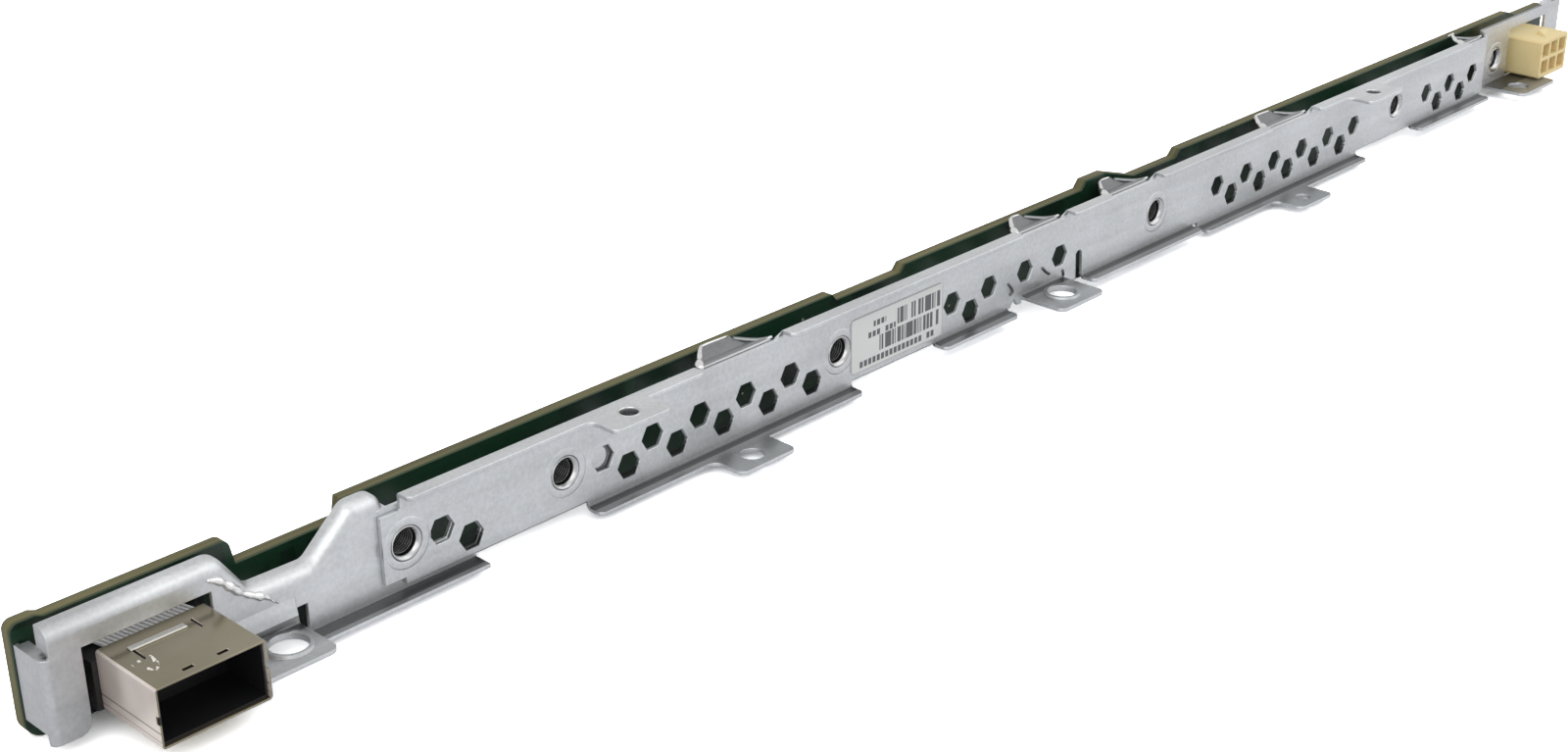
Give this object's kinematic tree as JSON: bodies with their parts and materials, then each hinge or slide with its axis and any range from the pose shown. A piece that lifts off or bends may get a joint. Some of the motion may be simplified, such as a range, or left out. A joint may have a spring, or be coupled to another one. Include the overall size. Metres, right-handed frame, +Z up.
{
  "type": "drive backplane board",
  "caption": "Long narrow drive backplane: circuit board screwed behind a folded steel rail with hexagonal vents, a serial cable port and a power header.",
  "frame": {"origin": "middle of the bounding box at its lowest level, which is the board's lower edge", "axes": "+X along the board towards the power header, +Y from the steel rail towards the drives, +Z up"},
  "size_m": [0.4326, 0.0318, 0.0196],
  "materials": {
    "laminate": "green solder mask over glass laminate",
    "zinc_steel": "zinc plated sheet",
    "port_shell": "plated spring sheet",
    "black_plastic": "moulded, fine grain",
    "cream_nylon": "natural nylon",
    "contact_metal": "gold flashed contact",
    "steel_dark": "plated steel",
    "label_film": "white film with plain printed bars",
    "chip_resin": "moulded resin",
    "capacitor_case": "ochre moulded case",
    "light_lens": "clear lens"
  },
  "bodies": {
    "root": {"board": "laminate", "main_rail": "zinc_steel", "end_bracket": "zinc_steel", "standoffs": "steel_dark", "board_screws": "steel_dark", "port_cage": "port_shell", "port_insert": "black_plastic", "port_contacts": "contact_metal", "port_spring": "port_shell", "power_housing": "cream_nylon", "power_pins": "contact_metal", "controller_chip": "chip_resin", "memory_chip": "chip_resin", "capacitors": "capacitor_case", "status_lights": "light_lens", "label_plate": "label_film", "drive_socket_1": "black_plastic", "socket_contacts_1": "contact_metal", "drive_socket_2": "black_plastic", "socket_contacts_2": "contact_metal", "drive_socket_3": "black_plastic", "socket_contacts_3": "contact_metal", "drive_socket_4": "black_plastic", "socket_contacts_4": "contact_metal"}
  },
  "joints": []
}
